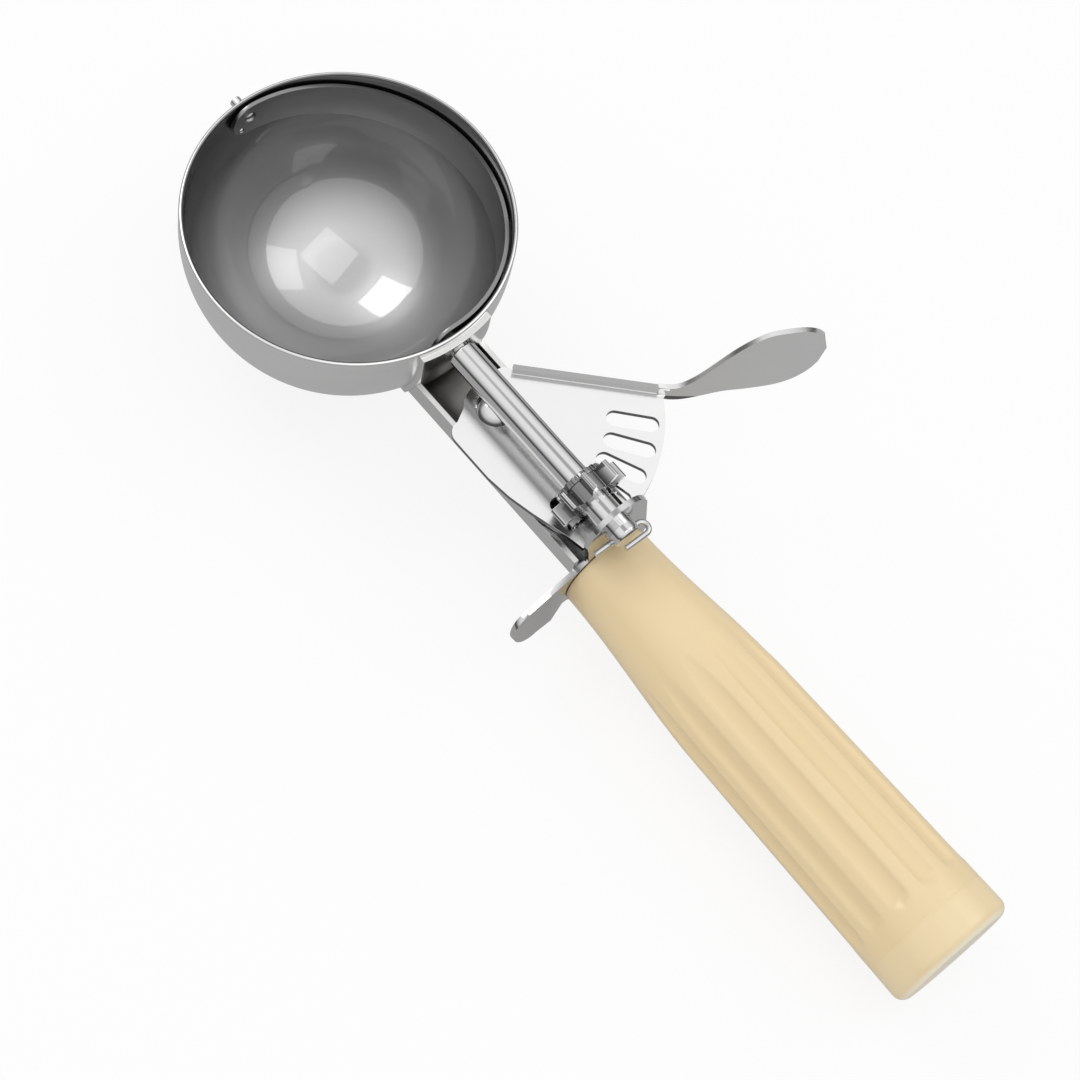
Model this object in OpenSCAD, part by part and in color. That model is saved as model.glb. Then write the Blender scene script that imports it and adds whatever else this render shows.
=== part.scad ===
// Lever ice cream scoop: a steel bowl swept by a scraper strip, which a thumb lever turns through a
// slotted sector and a toothed pinion, on an ivory handle.
// +X runs from the bowl to the free end of the handle, +Z is up, out of the bowl.
// The origin is the centre of the handle's end face.

/* [Bowl] */
// Outer diameter of the bowl
bowl_d = 68; // [60:1:72]
// Sheet thickness of the bowl
bowl_wall = 1.0; // [0.8:0.1:1.4]
// Height of the straight rim above the scraper's axis
bowl_lip = 4.6; // [3.6:0.2:6]

/* [Scraper] */
// Width of the scraper strip
strip_w = 9; // [7:0.5:10]
// Thickness of the scraper strip
strip_t = 0.8; // [0.6:0.1:1.2]
// Gap between the scraper strip and the bowl
strip_gap = 0.5; // [0.4:0.1:0.8]
// Angle below level at which the strip rests
strip_rest = 7; // [5:1:12]

/* [Drive shaft] */
// Diameter of the drive shaft
shaft_d = 6.2; // [5.6:0.1:6.6]
// Diameter of the journal that passes through the bowl
journal_d = 4.2; // [3.6:0.1:4.6]
// Diameter of the front pivot pin
pin_d = 2.4; // [2:0.1:3]
// Length of the front pivot pin outside the bowl
pin_out = 2.8; // [2:0.2:4]
// Length of the shaft behind the guard plate
shaft_stub = 3.0; // [2.6:0.1:3.4]
// Radial running clearance of shafts and pivots
run_gap = 0.06; // [0.03:0.01:0.09]

/* [Shank] */
// Distance from the bowl to the guard plate
shank_len = 48; // [47.8:0.2:54]
// Outer width of the shank channel
channel_w = 17.4; // [16.8:0.2:20]
// Sheet thickness of the channel and the saddle
channel_t = 1.2; // [1:0.1:1.6]
// Depth of the channel's floor below the shaft's axis
channel_drop = 14; // [13.4:0.2:15]
// Width of the tang
tang_w = 10; // [8:0.5:11]
// Thickness of the tang
tang_t = 2; // [1.6:0.1:2.6]
// Length of the tang inside the handle
tang_len = 66; // [50:1:80]

/* [Guard plate] */
// Sheet thickness of the guard plate
guard_t = 1.2; // [1:0.1:1.8]
// Radius of the ear that carries the shaft
ear_r = 7.6; // [6.8:0.1:8.4]
// Reach of the finger tab beside the shaft
tab_reach = 24.8; // [23:0.2:30]
// Radius of the finger tab's tip
tab_tip_r = 4.4; // [3.6:0.1:5]
// Lean of the finger tab towards the handle
tab_lean = 10; // [4:1:16]

/* [Thumb lever] */
// Sheet thickness of the lever
lever_t = 1.2; // [1:0.1:1.4]
// Depth of the lever's mid-plane below the shaft's axis
lever_drop = 6.8; // [6.7:0.05:6.9]
// Outer radius of the toothed sector
sector_r = 34.3; // [33.9:0.1:34.6]
// Number of slots in the sector
slot_n = 6; // [5:1:6]
// Width of a slot
slot_w = 3.5; // [3.3:0.05:3.6]
// Diameter of the lever's pivot
pivot_d = 4.4; // [4:0.1:5]
// Angle of the slot that stands over the pinion's axis at rest
slot_phase = 2.4; // [2:0.1:2.8]
// Height of the stiffening flange along the lever's edge
flange_h = 1.8; // [1.4:0.1:3]
// Length of the thumb pad
pad_len = 31.2; // [28:0.2:34]
// Height of the thumb pad at its widest
pad_h = 15.8; // [14:0.2:17]
// Lean of the thumb pad towards the bowl
pad_lean = 12; // [8:1:14]

/* [Pinion] */
// Number of teeth on the pinion
tooth_n = 8; // [8]
// Thickness of a tooth at its tip
tooth_t = 1.3; // [1.1:0.05:1.4]
// Face width of the pinion
pinion_w = 4; // [3.4:0.1:4.2]

/* [Return spring] */
// Wire diameter of the return spring
spring_wire = 1.0; // [0.8:0.05:1.0]
// Number of curls of the return spring
spring_turns = 3; // [2:1:3]

/* [Handle] */
// Length of the handle
handle_len = 103.4; // [96:0.2:120]
// Depth of the handle's axis below the shaft's axis
handle_drop = 18; // [17.9:0.1:19]
// Radius of the handle at its front end
grip_front_r = 10; // [9.6:0.1:10.1]
// Radius of the handle where its slender front part ends
grip_mid_r = 13; // [12.4:0.1:13.2]
// Radius of the handle at its fullest
grip_full_r = 13.9; // [13.4:0.1:14.4]
// Radius of the rounded edge at the handle's end
grip_edge_r = 2.4; // [1.6:0.1:3]
// Number of finger flutes around the handle
flute_n = 12; // [8:1:12]
// Depth of the flutes at their deep end
flute_depth = 0.9; // [0.5:0.1:1.2]
// Radius of the plug in the handle's end
plug_r = 8.6; // [6:0.1:9]

/* [Retaining clip] */
// Wire diameter of the retaining clip
clip_wire = 1.2; // [0.9:0.05:1.25]

/* [Hidden] */
fine = 96;
bowl_r = bowl_d / 2;
bowl_in_r = bowl_r - bowl_wall;
strip_out_r = bowl_in_r - strip_gap;
strip_in_r = strip_out_r - strip_t;
shaft_r = shaft_d / 2;
journal_r = journal_d / 2;
saddle_r = bowl_r + channel_t;
guard_x = bowl_r + shank_len;
grip_x = guard_x + guard_t;
shaft_end_x = grip_x + shaft_stub;
handle_end_x = grip_x + handle_len;
// One tooth pitch of the pinion moves the sector by one slot, a quarter of that angle.
drive_ratio = 4;
mesh_r = drive_ratio * lever_drop;
slot_pitch = 360 / tooth_n / drive_ratio;
pinion_root_r = 4.8;
lever_top = -lever_drop + lever_t / 2;
lever_low = -lever_drop - lever_t / 2;
channel_top = lever_low - 0.6;
channel_floor = -channel_drop;
channel_low = channel_floor - channel_t;
channel_in_w = channel_w - 2 * channel_t;
steel = [0.80, 0.80, 0.79];
dark_steel = [0.62, 0.62, 0.62];
ivory = [0.93, 0.85, 0.66];
// Fits and small parts that follow the pieces they join.
face_gap = 0.3;
axial_gap = 0.1;
guard_gap = 0.4;
tooth_overlap = 1.2;
rivet_d = 3;
spacer_r = 3.5;
washer_t = 0.5;
clip_z = -1.6;
clip_x = grip_x + 1.5;
clip_back = 2.7;
clip_side = 4.2;
shaft_front_x = saddle_r + face_gap;
pivot_x = guard_x - sector_r - guard_gap;
pinion_x = pivot_x + mesh_r;
pinion_tip_r = lever_drop + tooth_overlap;

// Moves a piece drawn around the bowl's centre into the frame of the handle's end face.
module place() {
    translate([-handle_end_x, 0, handle_drop]) children();
}

// A cylinder along +X that starts at x.
module bar_x(x, r, len) {
    translate([x, 0, 0]) rotate([0, 90, 0]) cylinder(r = r, h = len, $fn = fine);
}

// The bowl's form at radius r: half a ball below the axis and a straight band above it.
module bowl_form(r, top) {
    intersection() {
        sphere(r = r, $fn = fine);
        translate([-2 * r, -2 * r, -2 * r]) cube([4 * r, 4 * r, 2 * r]);
    }
    cylinder(r = r, h = top, $fn = fine);
}

module bowl() {
    color(steel) place() difference() {
        bowl_form(bowl_r, bowl_lip);
        bowl_form(bowl_in_r, bowl_lip + 1);
        bar_x(0, journal_r + face_gap, bowl_r + 1);
        bar_x(-bowl_r - 1, pin_d / 2 + run_gap, bowl_r);
    }
}

// The saddle is the plate on the back of the bowl that joins it to the shank and carries the journal.
module bowl_saddle() {
    saddle_top = bowl_lip - 1.4;
    color(steel) place() difference() {
        intersection() {
            bowl_form(saddle_r, saddle_top);
            translate([0, -channel_w / 2, channel_low])
                cube([saddle_r + 1, channel_w, saddle_top - channel_low]);
        }
        bowl_form(bowl_r, bowl_lip);
        bar_x(0, journal_r + run_gap, saddle_r + 1);
    }
}

module shank_channel() {
    wall_h = channel_top - channel_low;
    corner_r = 2.4;
    color(steel) place() difference() {
        rotate([90, 0, 90]) linear_extrude(guard_x) difference() {
            channel_section(channel_w, channel_low, channel_top, corner_r);
            channel_section(channel_in_w, channel_floor, channel_top + 1, corner_r - channel_t);
        }
        bowl_form(saddle_r, bowl_lip);
        translate([pivot_x, 0, channel_low - 1]) cylinder(d = pivot_d, h = wall_h, $fn = fine);
        rivet_places() translate([0, 0, channel_low - 1]) cylinder(d = rivet_d, h = wall_h, $fn = 48);
    }
}

// The channel's section across the shank, with rounded lower corners.
module channel_section(w, low, top, r) {
    translate([-w / 2, low + r]) square([w, top - low - r]);
    translate([-w / 2 + r, low]) square([w - 2 * r, top - low]);
    for (side = [-1, 1]) translate([side * (w / 2 - r), low + r]) circle(r = r, $fn = 48);
}

rivet_backs = [7, 17];
module rivet_places() {
    for (back = rivet_backs) translate([guard_x - back, 0, 0]) children();
}

module tang() {
    tang_lap = 24;
    tang_front = guard_x - tang_lap;
    color(dark_steel) place() difference() {
        translate([tang_front, -tang_w / 2, channel_low - tang_t])
            cube([grip_x + tang_len - tang_front, tang_w, tang_t]);
        rivet_places() translate([0, 0, channel_low - tang_t - 1])
            cylinder(d = rivet_d, h = tang_t + 2, $fn = 48);
    }
}

module tang_rivets() {
    head_h = 1.1;
    head_r = 2.6;
    grip_h = tang_t + channel_t;
    color(dark_steel) place() rivet_places() translate([0, 0, channel_low - tang_t]) {
        cylinder(d = rivet_d, h = grip_h, $fn = 48);
        translate([0, 0, grip_h]) dome(head_r, head_h);
        mirror([0, 0, 1]) dome(head_r, head_h);
    }
}

// A domed head of base radius r and height h, standing on z = 0.
module dome(r, h) {
    ball_r = (r * r + h * h) / (2 * h);
    intersection() {
        translate([0, 0, h - ball_r]) sphere(r = ball_r, $fn = fine);
        cylinder(r = r + 1, h = h + 1, $fn = fine);
    }
}

// Places a section drawn in Y and Z as a sheet of thickness t that starts at x.
module sheet_x(x, t) {
    translate([x, 0, 0]) rotate([90, 0, 90]) linear_extrude(t) children();
}

// The finger tab narrows from its root beside the handle, over a short bend, to a round tip.
tab_top = -11.4;
tab_root_z = -23.8;
tab_root_y = -grip_front_r - 0.1;
tab_bend_y = tab_root_y - 5;
bend_top = tab_top - 1.4;
bend_low = tab_root_z + 1.5;
tip_y = -tab_reach + tab_tip_r;
tip_z = tab_top - 2.6 - tab_tip_r;

// Outline of the finger tab beyond its bend.
module tab_outline() {
    polygon([
        [tab_bend_y, bend_top],
        [tip_y - 0.7, tip_z + tab_tip_r - 0.1],
        [tip_y - 0.7, tip_z - tab_tip_r + 0.1],
        [tab_bend_y, bend_low]]);
    translate([tip_y, tip_z]) circle(r = tab_tip_r, $fn = 64);
}

// Leans the finger tab towards the handle about its upper edge.
module lean_tab() {
    translate([guard_x, 0, tab_top]) rotate([0, -tab_lean, 0])
        translate([-guard_x, 0, -tab_top]) children();
}

module guard_plate() {
    color(steel) place() {
        difference() {
            sheet_x(guard_x, guard_t) {
                circle(r = ear_r, $fn = fine);
                polygon([[-ear_r, 0], [-5.4, tab_top + 0.6], [tab_root_y, tab_top - 0.6],
                    [tab_root_y, tab_root_z],
                    [0, tab_root_z], [9.6, -handle_drop], [10.6, -14.6], [ear_r - 0.5, 3.2], [0, 3.2]]);
                translate([0, -handle_drop]) circle(r = grip_front_r + 0.5, $fn = fine);
            }
            bar_x(guard_x - 1, shaft_r + run_gap, guard_t + 2);
            translate([guard_x - 1, -tang_w / 2, channel_low - tang_t]) cube([guard_t + 2, tang_w, tang_t]);
        }
        hull() {
            translate([guard_x, tab_root_y, tab_root_z]) cube([guard_t, 0.01, tab_top - 0.6 - tab_root_z]);
            lean_tab() translate([guard_x, tab_bend_y - 0.01, bend_low])
                cube([guard_t, 0.01, bend_top - bend_low]);
        }
        lean_tab() sheet_x(guard_x, guard_t) tab_outline();
    }
}

// The handle's radius at a distance behind the guard plate: a slender front, then a slow swell.
grip_front_len = 45;
grip_swell_len = 55;
function smooth(u) = u * u * (3 - 2 * u);
function grip_radius(s) = grip_front_r + (grip_mid_r - grip_front_r) * smooth(min(1, s / grip_front_len))
    + (grip_full_r - grip_mid_r) * max(0, s - grip_front_len) / grip_swell_len;
grip_steps = 9;
grip_body_len = handle_len - grip_edge_r;
grip_end_r = grip_radius(grip_body_len);
grip_outline = concat(
    [for (i = [0:grip_steps]) let(s = grip_front_len * i / grip_steps) [s, grip_radius(s)]],
    [[grip_body_len, grip_end_r]]);
grip_edge = [for (a = [15:15:90])
    [grip_body_len + grip_edge_r * sin(a), grip_end_r - grip_edge_r * (1 - cos(a))]];

// Turns an outline of [distance along X, radius] about the handle's axis.
module turned_x(x, points) {
    translate([x, 0, -handle_drop]) rotate([0, 90, 0]) rotate_extrude($fn = fine)
        polygon([for (p = points) [p[1], p[0]]]);
}

// A flute is cut by a long rod with a ball end, which dips into the handle towards the free end.
flute_start = 22;
flute_end_gap = 15;
flute_end = handle_len - flute_end_gap;
flute_r = 3.4;
module flute() {
    run = flute_end - flute_start;
    rise = grip_radius(flute_end) - flute_depth + flute_r;
    start_rise = grip_radius(flute_start) + flute_r + face_gap;
    slope = atan2(start_rise - rise, run);
    over_run = 4;
    translate([grip_x + flute_end, 0, rise]) rotate([0, slope - 90, 0])
        rotate_extrude($fn = 48) intersection() {
        union() {
            circle(r = flute_r, $fn = 48);
            translate([-flute_r, 0]) square([2 * flute_r, run + over_run]);
        }
        translate([0, -flute_r]) square([flute_r, run + over_run + flute_r]);
    }
}

plug_depth = 3;
plug_len = 2.6;
module handle_grip() {
    color(ivory) place() difference() {
        turned_x(grip_x, concat([[0, 0]], grip_outline, grip_edge, [[handle_len, 0]]));
        for (i = [0:flute_n - 1])
            translate([0, 0, -handle_drop]) rotate([360 * i / flute_n - 5, 0, 0]) flute();
        translate([grip_x - 1, -tang_w / 2, channel_low - tang_t]) cube([tang_len + 1.3, tang_w, tang_t]);
        translate([handle_end_x - plug_depth, 0, -handle_drop]) bar_x(0, plug_r + 0.05, plug_depth + 1);
    }
}

module handle_plug() {
    plug_step = 0.5;
    color(ivory) place() translate([0, 0, -handle_drop]) {
        bar_x(handle_end_x - plug_depth, plug_r, plug_len);
        bar_x(handle_end_x - plug_depth + plug_len - plug_step, plug_r - plug_step,
            plug_depth - plug_len + plug_step);
    }
}

module pivot_rivet() {
    head_r = 4;
    head_h = 2.2;
    tail_h = 1.2;
    color(steel) place() translate([pivot_x, 0, 0]) {
        translate([0, 0, channel_low])
            cylinder(d = pivot_d, h = lever_top + axial_gap - channel_low, $fn = fine);
        translate([0, 0, lever_top + axial_gap]) dome(head_r, head_h);
        translate([0, 0, channel_low]) mirror([0, 0, 1]) dome(head_r, tail_h);
    }
}

module pivot_spacer() {
    color(dark_steel) place() translate([pivot_x, 0, channel_floor]) difference() {
        cylinder(r = spacer_r, h = lever_low - axial_gap - washer_t - channel_floor, $fn = fine);
        translate([0, 0, -1]) cylinder(d = pivot_d, h = channel_drop, $fn = fine);
    }
}

module pivot_washer() {
    color(dark_steel) place() translate([pivot_x, 0, lever_low - axial_gap - washer_t]) difference() {
        cylinder(r = spacer_r + 1.6, h = washer_t, $fn = fine);
        translate([0, 0, -1]) cylinder(d = pivot_d, h = washer_t + 2, $fn = fine);
    }
}

// The return spring: one wire that winds up around the spacer, with a straight leg at each end.
spring_r = spacer_r + 0.4 + spring_wire / 2 + 0.2;
spring_rings = 8;
spring_sides = 6;
spring_low = channel_floor + spring_wire / 2 + 0.15;
spring_top = lever_low - axial_gap - washer_t - 0.25 - spring_wire / 2;
spring_pitch = (spring_top - spring_low) / (spring_turns + 0.25);
spring_start = 225;
leg_low = 3.2;
leg_high = 3.3;
function coil_point(k) = let(a = spring_start - 360 * k / spring_rings)
    [spring_r * cos(a), spring_r * sin(a), spring_low + spring_pitch * k / spring_rings];
coil_count = spring_turns * spring_rings + 2;
coil_path = [for (k = [0:coil_count]) coil_point(k)];
function unit(v) = v / norm(v);
low_dir = unit(coil_path[0] - coil_path[1]);
high_dir = unit(coil_path[coil_count] - coil_path[coil_count - 1]);
spring_path = concat([coil_path[0] + leg_low * low_dir, coil_path[0] + spring_wire * low_dir], coil_path,
    [coil_path[coil_count] + spring_wire * high_dir, coil_path[coil_count] + leg_high * high_dir]);
curl_gap = min([for (i = [0:len(coil_path) - 1], j = [0:len(coil_path) - 1])
    if (j - i >= spring_rings - 1) norm(coil_path[j] - coil_path[i])]) - spring_wire;
echo(least_gap_between_spring_curls = curl_gap);

// Sweeps a round wire with few sides along a path.
module wire(path, d, sides) {
    last = len(path) - 1;
    rings = [for (i = [0:last])
        let(t = unit(path[min(i + 1, last)] - path[max(i - 1, 0)]), n = unit(cross(t, [0, 0, 1])),
            b = cross(n, t))
        [for (s = [0:sides - 1]) path[i] + d / 2 * (cos(360 * s / sides) * n + sin(360 * s / sides) * b)]];
    points = [for (ring = rings, p = ring) p];
    sides_faces = [for (i = [0:last - 1], s = [0:sides - 1])
        let(a = i * sides + s, b = i * sides + (s + 1) % sides)
        each [[a, b, b + sides], [a, b + sides, a + sides]]];
    start_cap = [for (s = [1:sides - 2]) [0, s + 1, s]];
    end_cap = [for (s = [1:sides - 2]) [last * sides, last * sides + s, last * sides + s + 1]];
    polyhedron(points, [for (f = concat(sides_faces, start_cap, end_cap)) [f[2], f[1], f[0]]]);
}

module return_spring() {
    color(dark_steel) place() translate([pivot_x, 0, 0]) wire(spring_path, spring_wire, spring_sides);
}

// Outline of the sector in the lever's own plane, around the pivot.
flange_start = [-6.3, 7.2];
flange_end = [17.9, 30.9];
flange_turn = atan2(flange_end[1] - flange_start[1], flange_end[0] - flange_start[0]);
hub_r = 6.4;
nose = [0.7, -8];
nose_r = 3;
near_edge = [[29.5, -6.8], [22, -9], [16.5, -10.3], [10.8, -11]];
hub_edge = [[-5.6, -1.8], [-6.6, 5.4]];
module sector_outline() {
    arc_first = -10;
    arc_last = 57;
    arc_steps = 24;
    arc = [for (i = [arc_steps:-1:0]) let(a = arc_first + (arc_last - arc_first) * i / arc_steps)
        sector_r * [cos(a), sin(a)]];
    nose_edge = [[nose[0], nose[1] - nose_r], [nose[0] - nose_r, nose[1]]];
    polygon(concat([flange_start, flange_end], arc, near_edge, nose_edge, hub_edge));
    circle(r = hub_r, $fn = fine);
    translate(nose) circle(r = nose_r, $fn = 64);
}

// One slot of the sector at angle a, up to the radius out_r; the skew turns it out of the radial line.
slot_in_r = 24;
slot_out_r = 31.4;
first_slot_out_r = 28.4;
module slot(a, out_r, skew) {
    rotate(a) translate([mesh_r, 0]) rotate(skew) translate([-mesh_r, 0]) {
        translate([slot_in_r, -slot_w / 2]) square([out_r - slot_in_r, slot_w]);
        for (r = [slot_in_r, out_r]) translate([r, 0]) circle(d = slot_w, $fn = 48);
    }
}

// The slots follow each other at the slot pitch; the first is short and the last is skewed a little.
module slots() {
    last_skew = -5;
    for (i = [0:slot_n - 1])
        slot(slot_phase + (i - 1) * slot_pitch, i == 0 ? first_slot_out_r : slot_out_r,
            i == slot_n - 1 ? last_skew : 0);
}

// The thumb pad is a leaf that stands on edge: a narrow neck swells to the full height and ends round.
pad_bend_r = 75;
pad_turn = 50;
pad_steps = 28;
pad_foot = -1.6;
pad_lift = 2.8;
pad_lift_u = 0.4;
pad_full_u = 0.62;
pad_back = 2.4;
function pad_round(u) = sqrt(max(0, 1 - pow(max(0, (u - pad_full_u) / (1 - pad_full_u)), 2.6)));
pad_mid = pad_foot + pad_h / 2;
function pad_rise(u) = pad_lift * smooth(min(1, u / pad_lift_u));
function pad_top(u) = pad_rise(u) + (u < pad_full_u ?
    flange_h + (pad_foot + pad_h - flange_h) * smooth(u / pad_full_u) : pad_mid + pad_h / 2 * pad_round(u));
function pad_low(u) = pad_rise(u) + pad_mid - pad_h / 2 * pad_round(u);
module pad_outline() {
    top = [for (i = [0:pad_steps]) let(u = i / pad_steps) [pad_len * u, pad_top(u)]];
    low = [for (i = [pad_steps:-1:0]) let(u = i / pad_steps) [pad_len * u, pad_low(u)]];
    polygon(concat([[-pad_back, flange_h]], top, low, [[-pad_back, pad_foot + 0.5]]));
}

module thumb_pad() {
    reach = 40;
    translate([flange_end[0], flange_end[1], lever_top]) rotate([0, 0, pad_turn]) rotate([-pad_lean, 0, 0])
        intersection() {
            rotate([90, 0, 0]) translate([0, 0, -reach / 2]) linear_extrude(reach) pad_outline();
            translate([0, pad_bend_r - lever_t, -reach / 2]) difference() {
                cylinder(r = pad_bend_r, h = reach, $fn = 360);
                translate([0, 0, -1]) cylinder(r = pad_bend_r - lever_t, h = reach + 2, $fn = 360);
            }
        }
}

module thumb_lever() {
    flange_len = norm(flange_end - flange_start);
    hook_r = 5.9;
    hook_h = 2.8;
    hook_w = 2;
    hook_turn = 131;
    color(steel) place() translate([pivot_x, 0, 0]) {
        translate([0, 0, lever_low]) linear_extrude(lever_t) difference() {
            sector_outline();
            circle(r = pivot_d / 2 + run_gap, $fn = fine);
            slots();
        }
        translate([flange_start[0], flange_start[1], lever_low]) rotate([0, 0, flange_turn])
            translate([2, -lever_t, 0]) cube([flange_len - 2, lever_t, lever_t + flange_h]);
        rotate([0, 0, hook_turn]) translate([hook_r, -hook_w / 2, lever_low - hook_h])
            cube([lever_t, hook_w, hook_h + lever_t]);
        thumb_pad();
    }
}

// The drive shaft turns in the saddle and in the guard plate's ear, and is peened over on the strip.
module drive_shaft() {
    bevel = 0.6;
    peen_r = 3;
    peen_t = 0.7;
    color(steel) place() difference() {
        union() {
            translate([shaft_front_x, 0, 0]) rotate([0, 90, 0])
                cylinder(r1 = shaft_r - bevel, r2 = shaft_r, h = bevel, $fn = fine);
            bar_x(shaft_front_x + bevel, shaft_r, shaft_end_x - shaft_front_x - 2 * bevel);
            translate([shaft_end_x - bevel, 0, 0]) rotate([0, 90, 0])
                cylinder(r1 = shaft_r, r2 = shaft_r - bevel / 2, h = bevel, $fn = fine);
            bar_x(strip_in_r - peen_t, journal_r, shaft_front_x - strip_in_r + peen_t);
            bar_x(strip_in_r - peen_t, peen_r, peen_t - 0.15);
        }
        clip_hole();
    }
}

module clip_hole() {
    translate([clip_x, 0, clip_z]) rotate([90, 0, 0])
        cylinder(d = clip_wire, h = 2 * shaft_d, center = true, $fn = 48);
}

// The clip passes through the shaft's end and bends back across its face.
module retaining_clip() {
    clip_leg = 11;
    clip_short = 5.4;
    color(steel) place() translate([clip_x, clip_side, clip_z]) {
        rotate([90, 0, 0]) cylinder(d = clip_wire, h = clip_leg, $fn = 48);
        translate([clip_back, 0, 0]) rotate([90, 0, 0]) cylinder(d = clip_wire, h = clip_short, $fn = 48);
        translate([clip_back / 2, 0, 0]) rotate_extrude(angle = 180, $fn = 64)
            translate([clip_back / 2, 0]) circle(d = clip_wire, $fn = 48);
    }
}

module drive_pinion() {
    collar_w = 1.3;
    collar_r = 5.4;
    notch_n = 20;
    color(steel) place() difference() {
        union() {
            sheet_x(pinion_x - pinion_w / 2, pinion_w) {
                circle(r = pinion_root_r, $fn = fine);
                for (i = [0:tooth_n - 1]) rotate(drive_ratio * slot_phase - 90 + i * 360 / tooth_n) tooth();
            }
            sheet_x(pinion_x - pinion_w / 2 - collar_w, collar_w) difference() {
                circle(r = collar_r, $fn = fine);
                for (i = [0:notch_n - 1])
                    rotate(i * 360 / notch_n) translate([collar_r - 0.4, -0.35]) square([1, 0.7]);
            }
        }
        bar_x(pinion_x - pinion_w, shaft_r, 2 * pinion_w);
    }
}

// One tooth of the pinion along +Y of its section, slightly tapered.
module tooth() {
    root_t = tooth_t + 0.5;
    polygon([[3.6, -root_t / 2], [pinion_tip_r - 0.4, -tooth_t / 2], [pinion_tip_r, -tooth_t / 2 + 0.35],
        [pinion_tip_r, tooth_t / 2 - 0.35], [pinion_tip_r - 0.4, tooth_t / 2], [3.6, root_t / 2]]);
}

// The rivet stands square on the strip, at its own distance and angle from the pin.
strip_rivet_r = 0.4;
strip_rivet_out = 3.5;
strip_rivet_turn = 56;
module strip_rivet_place() {
    swing = asin(strip_rivet_out / strip_in_r);
    rotate([strip_rivet_turn, 0, 0]) rotate([0, 0, swing]) children();
}

// The scraper strip follows the inside of the bowl from the front pin to the journal.
module scraper_strip() {
    color(steel) place() rotate([-strip_rest, 0, 0]) difference() {
        intersection() {
            sphere(r = strip_out_r, $fn = fine);
            union() {
                translate([-bowl_r, 0, -strip_w / 2]) cube([bowl_d, bowl_r, strip_w]);
                bar_x(-bowl_r, strip_w / 2, bowl_d);
            }
        }
        sphere(r = strip_in_r, $fn = fine);
        bar_x(0, journal_r, bowl_r);
        bar_x(-bowl_r, pin_d / 2, bowl_r);
        strip_rivet_place() bar_x(-bowl_r, strip_rivet_r, bowl_r);
    }
}

// The front pivot pin is riveted into the strip's end and turns in the bowl's wall.
module front_pivot_pin() {
    head_r = 1.5;
    head_h = 0.7;
    head_x = -sqrt(strip_in_r * strip_in_r - head_r * head_r);
    color(steel) place() {
        bar_x(-bowl_r - pin_out, pin_d / 2, bowl_r + pin_out + head_x);
        translate([head_x, 0, 0]) rotate([0, 90, 0]) dome(head_r, head_h);
    }
}

// The small rivet in the strip's round end, beside the pin's head.
module strip_rivet() {
    head_r = 0.7;
    head_h = 0.4;
    sink = 0.1;
    head_x = -sqrt(strip_in_r * strip_in_r - head_r * head_r);
    color(steel) place() rotate([-strip_rest, 0, 0]) strip_rivet_place() {
        bar_x(-strip_out_r + sink, strip_rivet_r, strip_out_r - sink + head_x);
        translate([head_x, 0, 0]) rotate([0, 90, 0]) dome(head_r, head_h);
    }
}

bowl();
bowl_saddle();
shank_channel();
guard_plate();
tang();
tang_rivets();
handle_grip();
handle_plug();
pivot_rivet();
pivot_spacer();
pivot_washer();
return_spring();
thumb_lever();
drive_shaft();
drive_pinion();
retaining_clip();
scraper_strip();
front_pivot_pin();
strip_rivet();
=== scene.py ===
"""Dresses the lever ice cream scoop: finishes for steel and ivory, finer forms, light and camera.

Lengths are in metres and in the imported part's own frame: +X runs from the bowl to the handle's end face, +Z
is up out of the bowl's mouth, and the origin is the centre of that end face. Sizes of the bowl, the spring
and the handle are in millimetres around the bowl's centre, and tool_point brings them into that frame.
"""
from __future__ import annotations

import logging
import math
from dataclasses import dataclass
from enum import Enum
from typing import Any, Iterable

import bmesh
import bpy
from bmesh.types import BMesh, BMEdge
from bpy.types import Material, Node, NodeSocket, Object
from mathutils import Matrix, Vector

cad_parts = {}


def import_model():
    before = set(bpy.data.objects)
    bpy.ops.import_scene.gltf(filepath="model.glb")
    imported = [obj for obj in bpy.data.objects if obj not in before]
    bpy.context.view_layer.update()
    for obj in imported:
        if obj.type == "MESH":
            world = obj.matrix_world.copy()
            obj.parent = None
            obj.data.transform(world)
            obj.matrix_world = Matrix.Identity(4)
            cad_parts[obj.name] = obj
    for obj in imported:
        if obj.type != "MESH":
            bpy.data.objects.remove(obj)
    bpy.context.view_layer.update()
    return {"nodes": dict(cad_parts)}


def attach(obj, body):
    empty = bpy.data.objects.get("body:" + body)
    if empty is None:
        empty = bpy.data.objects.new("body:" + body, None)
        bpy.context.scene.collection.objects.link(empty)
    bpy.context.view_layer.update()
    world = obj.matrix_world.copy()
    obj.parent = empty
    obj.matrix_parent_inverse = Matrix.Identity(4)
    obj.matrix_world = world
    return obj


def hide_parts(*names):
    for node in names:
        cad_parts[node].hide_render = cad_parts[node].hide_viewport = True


LOG = logging.getLogger("scoop")
Color = tuple[float, float, float]

MM = 0.001
WHITE = (1.0, 1.0, 1.0, 1.0)
# From the bowl's centre to the handle's end face, and down from the shaft's axis to the handle's, in mm.
HANDLE_END_X = 186.6
HANDLE_DROP = 18.0
# The handle's form and its finish share the flutes, counted from this angle around the handle.
FLUTES = 12
FIRST_FLUTE = math.radians(85.0)
# Points closer than this are one point, and faces that turn less than this are one face.
WELD = 0.000002
FLAT = math.radians(0.6)
NOISE_MEAN = 0.5


def tool_point(x: float, y: float, z: float) -> Vector:
    """Turn millimetres around the bowl's centre, on the shaft's axis, into metres in the part's frame."""
    return Vector(((x - HANDLE_END_X) * MM, y * MM, (z + HANDLE_DROP) * MM))


def grey(level: float) -> Color:
    """Give a neutral linear colour."""
    return (level, level, level)


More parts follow.
